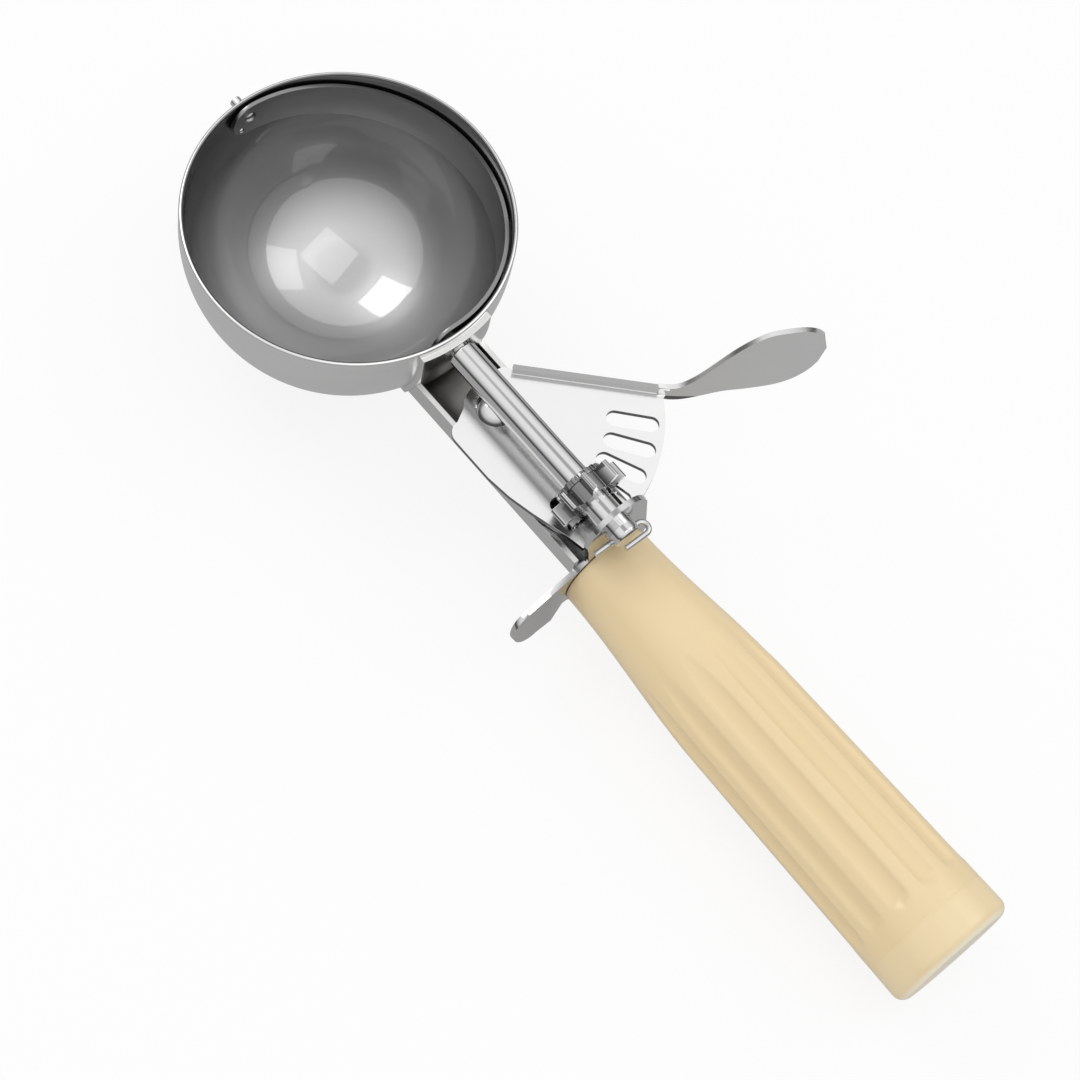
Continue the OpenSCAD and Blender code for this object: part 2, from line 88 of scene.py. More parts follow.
def opaque(color: Color) -> tuple[float, float, float, float]:
    """Give a colour with full alpha."""
    return (*color, 1.0)


class Signal:
    """A number that a shader socket carries; sums and products of it add their own nodes."""

    def __init__(self, wiring: Wiring, socket: NodeSocket) -> None:
        """Wrap an output socket of a node."""
        self.wiring = wiring
        self.socket = socket

    def __add__(self, other: Signal | float) -> Signal:
        """Add a number or a signal."""
        return self.wiring.maths("ADD", self, other)

    __radd__ = __add__

    def __sub__(self, other: Signal | float) -> Signal:
        """Take a number or a signal away."""
        return self.wiring.maths("SUBTRACT", self, other)

    def __rsub__(self, other: float) -> Signal:
        """Take this signal away from a number."""
        return self.wiring.maths("SUBTRACT", other, self)

    def __mul__(self, other: Signal | float) -> Signal:
        """Multiply by a number or a signal."""
        return self.wiring.maths("MULTIPLY", self, other)

    __rmul__ = __mul__

    def __truediv__(self, other: Signal | float) -> Signal:
        """Divide by a number or a signal."""
        return self.wiring.maths("DIVIDE", self, other)

    def __rtruediv__(self, other: float) -> Signal:
        """Divide a number by this signal."""
        return self.wiring.maths("DIVIDE", other, self)

    def root(self) -> Signal:
        """Give the square root."""
        return self.wiring.maths("SQRT", self)

    def clamped(self) -> Signal:
        """Hold the signal between 0 and 1."""
        return self.wiring.maths("MINIMUM", self.wiring.maths("MAXIMUM", self, 0.0), 1.0)

    def rising(self, start: float, over: float) -> Signal:
        """Give 0 up to a start, and 1 from a stretch above it."""
        return ((self - start) / over).clamped()

    def falling(self, end: float, over: float) -> Signal:
        """Give 1 up to a stretch below an end, and 0 from the end."""
        return ((end - self) / over).clamped()


class Wiring:
    """The node tree of one material or world, with one method that adds any node."""

    def __init__(self, tree: bpy.types.NodeTree) -> None:
        """Empty the tree and keep it."""
        self.tree = tree
        tree.nodes.clear()

    def node(self, kind: str, settings: dict[str, Any] | None = None,
             inputs: dict[str | int, Any] | None = None) -> Node:
        """Add a node.

        Args:
            kind: The node's type name.
            settings: Its properties, set first; "stops" holds a ramp's (position, colour) pairs.
            inputs: What its input sockets are fed, by name or number.

        Returns:
            The new node.
        """
        made = self.tree.nodes.new(kind)
        for name, value in (settings or {}).items():
            if name == "stops":
                self.set_stops(made.color_ramp, value)
            else:
                setattr(made, name, value)
        for name, value in (inputs or {}).items():
            self.feed(made.inputs[name], value)
        return made

    @staticmethod
    def set_stops(ramp: bpy.types.ColorRamp, stops: tuple[tuple[float, Color], ...]) -> None:
        """Give a colour ramp its stops.

        Args:
            ramp: The ramp, which has no more stops than it is given.
            stops: Pairs of position and colour, in rising order.
        """
        while len(ramp.elements) < len(stops):
            ramp.elements.new(1.0)
        for element, (position, color) in zip(ramp.elements, stops):
            element.position = position
            element.color = opaque(color)

    def feed(self, socket: NodeSocket, value: Any) -> None:
        """Give an input socket a value or a link.

        Args:
            socket: The input socket.
            value: A constant, a signal, an output socket, or a node that is linked by its first output.
        """
        if isinstance(value, Signal):
            value = value.socket
        elif isinstance(value, Node):
            value = value.outputs[0]
        if isinstance(value, NodeSocket):
            self.tree.links.new(value, socket)
        else:
            socket.default_value = value

    def maths(self, operation: str, *terms: Signal | float) -> Signal:
        """Add a Math node for an operation on signals and numbers."""
        made = self.node("ShaderNodeMath", {"operation": operation}, dict(enumerate(terms)))
        return Signal(self, made.outputs[0])

    def blend(self, factor: Signal, low: Any, high: Any) -> NodeSocket:
        """Mix two colours.

        Args:
            factor: 0 for the low colour and 1 for the high one.
            low: A colour, or the socket that gives one.
            high: A colour, or the socket that gives one.

        Returns:
            The socket with the mixed colour.
        """
        low, high = (opaque(end) if isinstance(end, tuple) else end for end in (low, high))
        made = self.node("ShaderNodeMix", {"data_type": "RGBA"}, {0: factor, 6: low, 7: high})
        return made.outputs[2]

    def combine(self, x: Signal | float, y: Signal | float, z: Signal | float) -> NodeSocket:
        """Join three numbers into a vector."""
        return self.node("ShaderNodeCombineXYZ", None, {0: x, 1: y, 2: z}).outputs[0]

    def noise(self, vector: NodeSocket, scale: float, detail: float = 2.0, rough: float = 0.5) -> Signal:
        """Give noise over a vector.

        Args:
            vector: The socket with the vector.
            scale: Grains per metre.
            detail: Number of finer layers.
            rough: Strength of each finer layer.

        Returns:
            The noise, around its mean of one half.
        """
        made = self.node("ShaderNodeTexNoise", None,
                         {"Vector": vector, "Scale": scale, "Detail": detail, "Roughness": rough})
        return Signal(self, made.outputs[0])

    def mixed_shader(self, factor: Any, low: Node, high: Node) -> Node:
        """Mix two shaders by a factor."""
        return self.node("ShaderNodeMixShader", None, {0: factor, 1: low, 2: high})


class Place:
    """A point of a surface in metres from a centre, as a vector and as three signals."""

    def __init__(self, wiring: Wiring, centre: Vector) -> None:
        """Read the object coordinates and count them from the centre.

        Args:
            wiring: The material's node tree.
            centre: The point to count from, in the part's frame.
        """
        self.wiring = wiring
        coordinate = wiring.node("ShaderNodeTexCoord").outputs["Object"]
        self.vector = wiring.node("ShaderNodeMapping", None,
                                  {"Vector": coordinate, "Location": tuple(-centre)}).outputs[0]
        parts = wiring.node("ShaderNodeSeparateXYZ", None, {0: self.vector})
        self.x, self.y, self.z = (Signal(wiring, output) for output in parts.outputs)

    def scaled(self, x: float, y: float, z: float) -> NodeSocket:
        """Give the vector with its parts scaled, which stretches a pattern."""
        inputs = {"Vector": self.vector, "Scale": (x, y, z)}
        return self.wiring.node("ShaderNodeMapping", None, inputs).outputs[0]

    def around_x(self) -> Signal:
        """Give the distance from the axis along the tool."""
        return (self.y * self.y + self.z * self.z).root()

    def around_z(self) -> Signal:
        """Give the distance from the upright axis."""
        return (self.x * self.x + self.y * self.y).root()


class Grain(Enum):
    """The direction of the fine lines that polishing or rolling leaves."""

    SPUN = "rings around the bowl's upright axis"
    ALONG = "lines along the tool"
    TURNED = "rings around the tool's long axis"
    PRESSED = "no clear direction"


def blank_material(name: str) -> tuple[Material, Wiring]:
    """Make a material with an empty node tree.

    Args:
        name: Name of the material.

    Returns:
        The material and its wiring.
    """
    made = bpy.data.materials.new(name)
    made.use_nodes = True
    return made, Wiring(made.node_tree)


@dataclass(frozen=True)
class SteelFinish:
    """A bare metal finish with a fine grain, faint scratches and a slight stain.

    Attributes:
        name: Name of the material.
        color: Linear colour of the metal.
        roughness: Mean roughness.
        spread: How far the roughness varies over the surface.
        grain: Direction of the fine lines.
        depth: Height of the fine lines.
        pitch: Lines per metre.
        shine: Share of a clear polish over the hazy metal.
        centre: Point that rings and heights are counted from.
        drawn: How far lines along the tool are drawn out, as the scale along X.
        stains: Stains per metre.
        stained: Share of its brightness that the metal keeps in a stain.
        scratches: Scratches per metre.
        scratch_form: Scales of the scratches along X, Y and Z.
        scratch_from: Level of the noise from which a scratch shows.
        fade: Distance over which a tone changes at an edge.
    """

    name: str
    color: Color
    roughness: float
    spread: float
    grain: Grain = Grain.ALONG
    depth: float = 0.000003
    pitch: float = 2200.0
    shine: float = 0.0
    centre: Vector = tool_point(0, 0, 0)
    drawn: float = 0.02
    stains: float = 60.0
    stained: float = 0.93
    scratches: float = 900.0
    scratch_form: tuple[float, float, float] = (6.0, 0.4, 0.4)
    scratch_from: float = 0.62
    fade: float = 0.000125

    def grain_vector(self, place: Place) -> NodeSocket:
        """Give the vector over which the fine lines are drawn.

        Args:
            place: The point of the surface.

        Returns:
            The socket with the vector.
        """
        if self.grain is Grain.SPUN:
            return place.wiring.combine(place.around_z(), place.z, 0.0)
        if self.grain is Grain.TURNED:
            return place.wiring.combine(place.x, place.around_x(), 0.0)
        if self.grain is Grain.ALONG:
            return place.scaled(self.drawn, 1.0, 1.0)
        return place.vector

    def haze(self, place: Place) -> Signal | float:
        """Give the mean roughness at a place."""
        return self.roughness

    def shaded(self, place: Place, tone: NodeSocket) -> NodeSocket:
        """Give the metal's tone at a place, where a subclass adds painted shade."""
        return tone

    def material(self) -> Material:
        """Build the material.

        Returns:
            The new material.
        """
        made, wiring = blank_material(self.name)
        place = Place(wiring, self.centre)
        lines = wiring.noise(self.grain_vector(place), self.pitch, detail=3.0, rough=0.6)
        cloud = wiring.noise(place.vector, self.stains, detail=4.0, rough=0.6)
        marks = wiring.noise(place.scaled(*self.scratch_form), self.scratches, rough=0.7)
        wear = (cloud - NOISE_MEAN) + (lines - NOISE_MEAN) + (marks - self.scratch_from).clamped() * 2.0
        rough = wear * self.spread + self.haze(place)
        dark = tuple(part * self.stained for part in self.color)
        # Tone with stains, and with painted shade from the subclasses that add it.
        tone = self.shaded(place, wiring.blend(cloud.clamped(), dark, self.color))
        bump = wiring.node("ShaderNodeBump", None,
                           {"Height": lines, "Strength": 0.35, "Distance": self.depth})
        shader = wiring.node("ShaderNodeBsdfPrincipled", None, {
            "Base Color": tone, "Metallic": 1.0, "Roughness": rough.clamped(), "Normal": bump,
            "Coat Weight": self.shine, "Coat Roughness": 0.04, "Coat IOR": 2.2})
        wiring.node("ShaderNodeOutputMaterial", None, {0: shader})
        return made


@dataclass(frozen=True)
class BowlFinishAndPaintedShade(SteelFinish):
    """Spun sheet steel: hazy inside with painted shade towards the rim, satin on the outside.

    Attributes:
        between_r: Radius between the inner and the outer face.
        satin: Roughness of the outside.
        pale: Linear colour of the outside.
        deep: Linear colour of the painted shade on the inside just under the rim.
        shade_z: Height over the bowl's centre where the painted shade inside starts to grow darker.
        shade_over: Height over which it does so.
    """

    between_r: float = 0.0335
    satin: float = 0.3
    pale: Color = (0.8, 0.8, 0.79)
    deep: Color = grey(0.07)
    shade_z: float = -0.0285
    shade_over: float = 0.0185

    def inside(self, place: Place) -> Signal:
        """Tell the inner face from the outer one.

        Args:
            place: The point of the surface.

        Returns:
            1 on the inner face and 0 on the outer face.
        """
        below = place.wiring.maths("MINIMUM", place.z, 0.0)
        reach = (place.x * place.x + place.y * place.y + below * below).root()
        return reach.falling(self.between_r, self.fade)

    def haze(self, place: Place) -> Signal | float:
        """Give the mean roughness at a place."""
        return self.satin + self.inside(place) * (self.roughness - self.satin)

    def shaded(self, place: Place, tone: NodeSocket) -> NodeSocket:
        """Give the metal's tone at a place.

        Args:
            place: The point of the surface.
            tone: The tone of the plain metal.

        Returns:
            The tone, with painted shade darkening it towards the rim inside, and pale outside.
        """
        inner = self.inside(place)
        # Painted shade: the inside's tone goes to deep towards the rim.
        rim = place.z.rising(self.shade_z, self.shade_over)
        steel = place.wiring.blend(inner, self.pale, tone)
        return place.wiring.blend(inner * rim, steel, self.deep)


@dataclass(frozen=True)
class ChannelFinishAndPaintedShade(SteelFinish):
    """Bent sheet steel with painted shade between its walls, most of all near the bowl.

    Attributes:
        half: Half the width between the walls.
        floor: Height of the floor over the shaft's axis.
        deep: Linear colour of the painted shade between the walls.
        near_x: Distance from the bowl's centre where the painted shade starts to grow lighter.
        over_x: Length over which it does so.
        near_share: Share of the painted shade near the bowl.
        far_share: Share of it near the handle.
    """

    half: float = 0.0077
    floor: float = -0.01415
    deep: Color = (0.07, 0.066, 0.06)
    near_x: float = 0.036
    over_x: float = 0.022
    near_share: float = 0.92
    far_share: float = 0.47

    def shaded(self, place: Place, tone: NodeSocket) -> NodeSocket:
        """Give the metal's tone at a place.

        Args:
            place: The point of the surface.
            tone: The tone of the plain metal.

        Returns:
            The tone, with painted shade between the walls.
        """
        # Painted shade between the walls, deepest near the bowl.
        between = place.wiring.maths("ABSOLUTE", place.y).falling(self.half, self.fade)
        above = place.z.rising(self.floor, self.fade)
        lighter = place.x.rising(self.near_x, self.over_x) * (self.near_share - self.far_share)
        return place.wiring.blend(between * above * (self.near_share - lighter), tone, self.deep)


@dataclass(frozen=True)
class LeverFinishAndPaintedShade(SteelFinish):
    """Pressed sheet steel with a painted dark reflection on its cut edges and painted shade on its flange.

    Attributes:
        under: Height of the sheet's lower face over the shaft's axis.
        over: Height of its upper face.
        inset: Distance from the upper face to the painted dark tones.
        hinge_x: Distance from the bowl's centre to the lever's hinge.
        flange_reach: Distance from the hinge where the flange ends.
        flange_share: Share of the painted shade on the flange.
        cut: Linear colour of the painted dark reflection on the cut edges.
        shade: Linear colour of the painted shade on the flange.
        cut_fade: Distance over which the painted dark edges end.
        reach_fade: Distance over which the painted shade on the flange ends.
    """

    under: float = -0.0074
    over: float = -0.0062
    inset: float = 0.0001
    hinge_x: float = 0.0473
    flange_reach: float = 0.0335
    flange_share: float = 0.9
    cut: Color = grey(0.16)
    shade: Color = grey(0.34)
    cut_fade: float = 0.00005
    reach_fade: float = 0.000333

    def shaded(self, place: Place, tone: NodeSocket) -> NodeSocket:
        """Give the metal's tone at a place.

        Args:
            place: The point of the surface.
            tone: The tone of the plain metal.

        Returns:
            The tone, with a painted dark reflection on the cut edges and painted shade on the flange.
        """
        # Painted dark reflection on the sheet's cut edges, between its two faces.
        low = place.z.rising(self.under + self.cut_fade, self.cut_fade)
        high = place.z.falling(self.over - self.inset, self.cut_fade)
        # Painted shade on the upturned flange near the hinge.
        arm = place.x - self.hinge_x
        near = (arm * arm + place.y * place.y).root().falling(self.flange_reach, self.reach_fade)
        up = place.z.rising(self.over + self.inset, self.fade)
        edged = place.wiring.blend(low * high, tone, self.cut)
        return place.wiring.blend(near * up * self.flange_share, edged, self.shade)


@dataclass(frozen=True)
class PinionFinishAndPaintedShade(SteelFinish):
    """Bright plated steel with painted shade down in the gaps between the teeth.

    Attributes:
        deep: Linear colour of the painted shade at the roots.
        deep_share: Share of the painted shade at the roots.
        root_r: Radius up to which the painted shade is darkest.
        over_r: Height of the teeth over which it grows lighter.
    """

    deep: Color = grey(0.1)
    deep_share: float = 0.8
    root_r: float = 0.0052
    over_r: float = 0.0022

    def shaded(self, place: Place, tone: NodeSocket) -> NodeSocket:
        """Give the metal's tone at a place, with painted shade at the roots of the teeth."""
        # Painted shade in the gaps between the teeth.
        roots = place.around_x().falling(self.root_r + self.over_r, self.over_r)
        return place.wiring.blend(roots * self.deep_share, tone, self.deep)


@dataclass(frozen=True)
class IvoryFinish:
    """A glossy cast resin in warm ivory, a little paler towards the handle's end.

    Attributes:
        name: Name of the material.
        color: Linear colour of the body.
        pale: Linear colour of the end band and of the paler clouds.
        warm: Linear colour in the flutes.
        face: Linear colour of the flat end face.
        band_x: Place along X where the end band starts.
        band_fade: Length over which it does.
        face_x: Place along X where the end face's tone starts.
        face_fade: Length over which it does.
        flutes_x: Places along X where the warm tone in the flutes starts and ends.
        flutes_fade: Lengths over which it starts and ends.
        groove_from: Height of the wave across the flutes from which their tone starts.
        warm_share: Share of the warm tone at the middle of a flute.
        pale_share: Mean share of the pale tone.
        band_share: Further share of it in the end band.
        cloud_share: How far the clouds change it.
        roughness: Mean roughness.
        clouds: Clouds per metre.
        specks: Specks per metre.
        waves: Low waves per metre.
    """

    name: str
    color: Color
    pale: Color
    warm: Color
    face: Color
    band_x: float = -0.0088
    band_fade: float = 0.001429
    face_x: float = -0.0012
    face_fade: float = 0.000833
    flutes_x: tuple[float, float] = (-0.075, -0.0145)
    flutes_fade: tuple[float, float] = (0.01667, 0.002)
    groove_from: float = 1 / 6
    warm_share: float = 0.12
    pale_share: float = 0.2
    band_share: float = 0.3
    cloud_share: float = 0.5
    roughness: float = 0.32
    clouds: float = 55.0
    specks: float = 1400.0
    waves: float = 260.0

    def groove(self, place: Place) -> Signal:
        """Find the flutes.

        Args:
            place: The point of the surface.

        Returns:
            1 along the middle of each flute, and 0 between the flutes and past their ends.
        """
        turn = place.wiring.maths("ARCTAN2", place.z, place.y) * float(FLUTES) - FIRST_FLUTE * FLUTES
        across = place.wiring.maths("COSINE", turn).rising(self.groove_from, 1 - self.groove_from)
        first, last = self.flutes_x
        first_fade, last_fade = self.flutes_fade
        return across * place.x.rising(first, first_fade) * place.x.falling(last, last_fade)

    def tone(self, place: Place, cloud: Signal) -> NodeSocket:
        """Give the resin's colour at a place.

        Args:
            place: The point of the surface.
            cloud: Broad noise over the surface.

        Returns:
            The socket with the colour.
        """
        band = place.x.rising(self.band_x, self.band_fade) * self.band_share
        pale = ((cloud - NOISE_MEAN) * self.cloud_share + band + self.pale_share).clamped()
        body = place.wiring.blend(pale, self.color, self.pale)
        fluted = place.wiring.blend(self.groove(place) * self.warm_share, body, self.warm)
        return place.wiring.blend(place.x.rising(self.face_x, self.face_fade), fluted, self.face)

    def material(self) -> Material:
        """Build the material.

        Returns:
            The new material.
        """
        made, wiring = blank_material(self.name)
        place = Place(wiring, Vector((0.0, 0.0, 0.0)))
        cloud = wiring.noise(place.scaled(0.4, 1.0, 1.0), self.clouds, detail=3.0)
        specks = wiring.noise(place.vector, self.specks, rough=0.6)
        rough = (cloud - NOISE_MEAN) * 0.1 + (specks - NOISE_MEAN) * 0.08 + self.roughness
        height = specks * 0.4 + wiring.noise(place.vector, self.waves) * 1.2
        bump = wiring.node("ShaderNodeBump", None,
                           {"Height": height, "Strength": 0.12, "Distance": 0.00004})
        shader = wiring.node("ShaderNodeBsdfPrincipled", None, {
            "Base Color": self.tone(place, cloud), "Roughness": rough.clamped(), "Normal": bump, "IOR": 1.5,
            "Coat Weight": 0.3, "Coat Roughness": 0.1})
        wiring.node("ShaderNodeOutputMaterial", None, {0: shader})
        return made


def grown(shape: BMesh, name: str, finish: Material, sharp: float = 32.0) -> Object:
    """Turn a finished bmesh into an object that is shaded smooth up to a sharp angle.

    Args:
        shape: The bmesh, which is freed.
        name: Name of the piece.
        finish: Its material.
        sharp: Angle in degrees from which an edge stays sharp.

    Returns:
        The new object, linked to the scene.
    """
    mesh = bpy.data.meshes.new(name)
    shape.to_mesh(mesh)
    shape.free()
    mesh.materials.append(finish)
    mesh.polygons.foreach_set("use_smooth", [True] * len(mesh.polygons))
    mesh.set_sharp_from_angle(angle=math.radians(sharp))
    made = bpy.data.objects.new(name, mesh)
    bpy.context.scene.collection.objects.link(made)
    return made


def strung(shape: BMesh, points: Iterable[Vector]) -> list[BMEdge]:
    """Add a chain of vertices joined by edges to a bmesh and give its edges."""
    chain = [shape.verts.new(point) for point in points]
    return [shape.edges.new(pair) for pair in zip(chain, chain[1:])]


def turned(shape: BMesh, edges: list[BMEdge], centre: Vector, axis: Vector, steps: int) -> None:
    """Spin an outline fully around an axis, close its poles and point its faces outwards.

    Args:
        shape: The bmesh that holds the outline.
        edges: The outline's edges.
        centre: A point of the axis.
        axis: Direction of the axis.
        steps: Number of steps of the spin.
    """
    verts = list(dict.fromkeys(vert for edge in edges for vert in edge.verts))
    bmesh.ops.spin(shape, geom=verts + edges, cent=centre, axis=axis, dvec=(0, 0, 0),
                   angle=math.tau, steps=steps, use_merge=True)
    bmesh.ops.remove_doubles(shape, verts=shape.verts, dist=WELD)
    bmesh.ops.recalc_face_normals(shape, faces=shape.faces)


@dataclass
class SoftenedPiece:
    """A piece of the frame, copied with its cut edges slightly broken.

    Attributes:
        node: Name of the node that it stands for.
        body: Body that it rides on.
        slot: Material slot of the record; not used.
        finish: Name of its finish.
        edge: Width of the broken edge, or 0 to keep the edges.
        sharp: Angle in degrees from which an edge is broken.
    """

    node: str
    body: str
    slot: str
    finish: str
    edge: float = 0.0
    sharp: float = 34.0

    def soften(self, shape: BMesh) -> None:
        """Break the sharp edges of a shape.

        Args:
            shape: The bmesh with the piece's merged faces.
        """
        limit = math.radians(self.sharp)
        rims = [rim for rim in shape.edges if rim.is_manifold and rim.calc_face_angle(0.0) > limit]
        bmesh.ops.bevel(shape, geom=rims, offset=self.edge, offset_type="OFFSET", affect="EDGES",
                        segments=2, profile=0.5, material=-1, clamp_overlap=True)

    def build(self, source: Object, finish: Material) -> Object:
        """Build the copy, dress it and let it stand for its node.

        Args:
            source: The frame's object for the node.
            finish: The copy's material.

        Returns:
            The dressed copy.
        """
        shape = bmesh.new()
        shape.from_mesh(source.data)
        bmesh.ops.remove_doubles(shape, verts=shape.verts, dist=WELD)
        bmesh.ops.dissolve_limit(shape, angle_limit=FLAT, verts=shape.verts, edges=shape.edges)
        if self.edge > 0:
            self.soften(shape)
        made = grown(shape, self.node + "_finished", finish)
        flats = made.modifiers.new("flat_sheet_shading", "WEIGHTED_NORMAL")
        flats.mode = "FACE_AREA"
        flats.weight = 100
        flats.keep_sharp = True
        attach(made, self.body)
        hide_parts(self.node)
        return made


@dataclass
class HandleGrip:
    """The ivory handle: a turned form with finger flutes and a rounded end. Sizes are in mm.

    Attributes:
        front_x: Distance from the bowl's centre to the front end.
        front_r: Radius at the guard plate.
        mid_r: Radius where the slender front part ends.
        full_r: Radius at the fullest.
        front_len: Length of the slender front part.
        swell_len: Length over which the handle reaches its fullest radius.
        length: Whole length.
        edge_r: Radius of the rounded end.
        front_edge: Size of the rounded front edge.
        core_r: Radius of the two flat caps that close the outline.
        flute_r: Radius of the rod that cuts a flute.
        flute_depth: Depth of a flute at its deep end.
        flute_start: Distance from the front where a flute starts.
        flute_end: Distance from the front of the centre of its ball end.
        rod_gap: Clearance of the rod over the surface where the flute starts.
        skin: Depth down to which a point counts as surface.
        plug_r: Radius of the plug.
        plug_gap: Clearance around the plug.
        plug_depth: Depth of the plug's seat.
        plug_edge: Height of the broken edge around the seat.
        plug_mouth: Width of the seat's mouth beyond the plug.
        plug_taper: Width that the seat's wall loses under the mouth.
        seam: Distance from the front of the fine parting line.
        seam_depth: Depth of the parting line.
        seam_half: Half its width.
        seam_clear: Distance around it that has steps of its own.
        rows: Number of steps along the handle.
        edge_rows: Number of steps around the rounded end.
        steps: Number of steps around each flute.
    """

    front_x: float = 83.2
    front_r: float = 10.0
    mid_r: float = 13.0
    full_r: float = 13.9
    front_len: float = 45.0
    swell_len: float = 55.0
    length: float = 103.4
    edge_r: float = 2.4
    front_edge: float = 0.5
    core_r: float = 0.5
    flute_r: float = 3.4
    flute_depth: float = 0.9
    flute_start: float = 22.0
    flute_end: float = 88.4
    rod_gap: float = 0.3
    skin: float = 0.05
    plug_r: float = 8.6
    plug_gap: float = 0.05
    plug_depth: float = 3.0
    plug_edge: float = 0.2
    plug_mouth: float = 0.3
    plug_taper: float = 0.01
    seam: float = 94.8
    seam_depth: float = 0.08
    seam_half: float = 0.3
    seam_clear: float = 0.5
    rows: int = 116
    edge_rows: int = 12
    steps: int = 18

    def radius(self, behind: float) -> float:
        """Give the unfluted radius at a distance behind the front end.

        Args:
            behind: The distance in mm.

        Returns:
            The radius in mm.
        """
        part = min(1.0, behind / self.front_len)
        smooth = part * part * (3 - 2 * part)
        swell = max(0.0, behind - self.front_len) / self.swell_len
        return self.front_r + (self.mid_r - self.front_r) * smooth + (self.full_r - self.mid_r) * swell

    def flute_cut(self, behind: float, side: float) -> float:
        """Give how deep a flute cuts the surface.

        Args:
            behind: Distance behind the front end in mm.
            side: Distance beside the flute's middle in mm.

        Returns:
            The depth in mm, 0 outside the flute.
        """
        deep = self.radius(self.flute_end) - self.flute_depth
        rise = deep - self.radius(self.flute_start) - self.rod_gap
        slope = rise / (self.flute_end - self.flute_start)
        past = max(0.0, behind - self.flute_end)
        across = self.flute_r ** 2 - side ** 2 - past ** 2
        if across <= 0:
            return 0.0
        bottom = deep - (self.flute_end - min(behind, self.flute_end)) * slope
        return max(0.0, self.radius(behind) - bottom - self.flute_r + math.sqrt(across))

    def places(self, last: float) -> list[float]:
        """Give the places of the outline's points along the handle, closer together at the seam.

        Args:
            last: Distance in mm from the front to the last place.

        Returns:
            The distances in mm, in rising order.
        """
        first = self.front_edge
        even = [first + (last - first) * i / self.rows for i in range(self.rows + 1)]
        clear = [behind for behind in even if abs(behind - self.seam) > self.seam_clear]
        return sorted(clear + [self.seam + 0.4 * self.seam_half * i for i in range(-3, 4)])

    def outline(self) -> list[tuple[float, float]]:
        """Give the outline from the front to the plug's seat.

        Returns:
            Pairs of distance behind the front end and radius, in mm.
        """
        body_len = self.length - self.edge_r
        end_r = self.radius(body_len)
        seat_r = self.plug_r + self.plug_gap
        seat = self.length - self.plug_depth
        edge = self.front_edge
        # One point between its two ends rounds the front edge.
        rows = [(0.0, self.core_r), (0.0, self.front_r - edge), (0.3 * edge, self.front_r - 0.24 * edge)]
        for behind in self.places(body_len):
            groove = self.seam_depth * max(0.0, 1 - abs(behind - self.seam) / self.seam_half)
            rows.append((behind, self.radius(behind) - groove))
        for step in range(1, self.edge_rows + 1):
            turn = math.radians(90 * step / self.edge_rows)
            rows.append((body_len + self.edge_r * math.sin(turn),
                         end_r - self.edge_r * (1 - math.cos(turn))))
        rows += [(self.length, self.plug_r + self.plug_mouth),
                 (self.length - self.plug_edge, seat_r + self.plug_taper),
                 (seat, seat_r), (seat, self.core_r)]
        return rows

    def carve(self, shape: BMesh, centre: Vector) -> None:
        """Press the flutes into the turned form.

        Args:
            shape: The turned form.
            centre: The middle of the handle's front end.
        """
        pitch = math.tau / FLUTES
        last = self.length - self.edge_r - 1
        for vert in shape.verts:
            arm = vert.co - centre
            behind, out = arm.x / MM, math.hypot(arm.y, arm.z) / MM
            if self.flute_start < behind < last and out >= self.radius(behind) - self.skin:
                turn = (math.atan2(arm.z, arm.y) - FIRST_FLUTE + pitch / 2) % pitch - pitch / 2
                share = 1 - self.flute_cut(behind, out * math.sin(turn)) / out
                vert.co = centre + Vector((arm.x, arm.y * share, arm.z * share))

    def build(self, finish: Material) -> Object:
        """Build the handle, dress it and let it stand for its node.

        Args:
            finish: The handle's material.

        Returns:
            The dressed handle.
        """
        shape = bmesh.new()
        centre = tool_point(self.front_x, 0, -HANDLE_DROP)
        edges = strung(shape, [centre + Vector((behind, 0, out)) * MM for behind, out in self.outline()])
        turned(shape, edges, centre, Vector((1, 0, 0)), FLUTES * self.steps)
        bmesh.ops.holes_fill(shape, edges=[edge for edge in shape.edges if edge.is_boundary], sides=0)
        bmesh.ops.recalc_face_normals(shape, faces=shape.faces)
        self.carve(shape, centre)
        made = grown(shape, "handle_moulding", finish, sharp=40.0)
        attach(made, "frame")
        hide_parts("handle_grip")
        return made


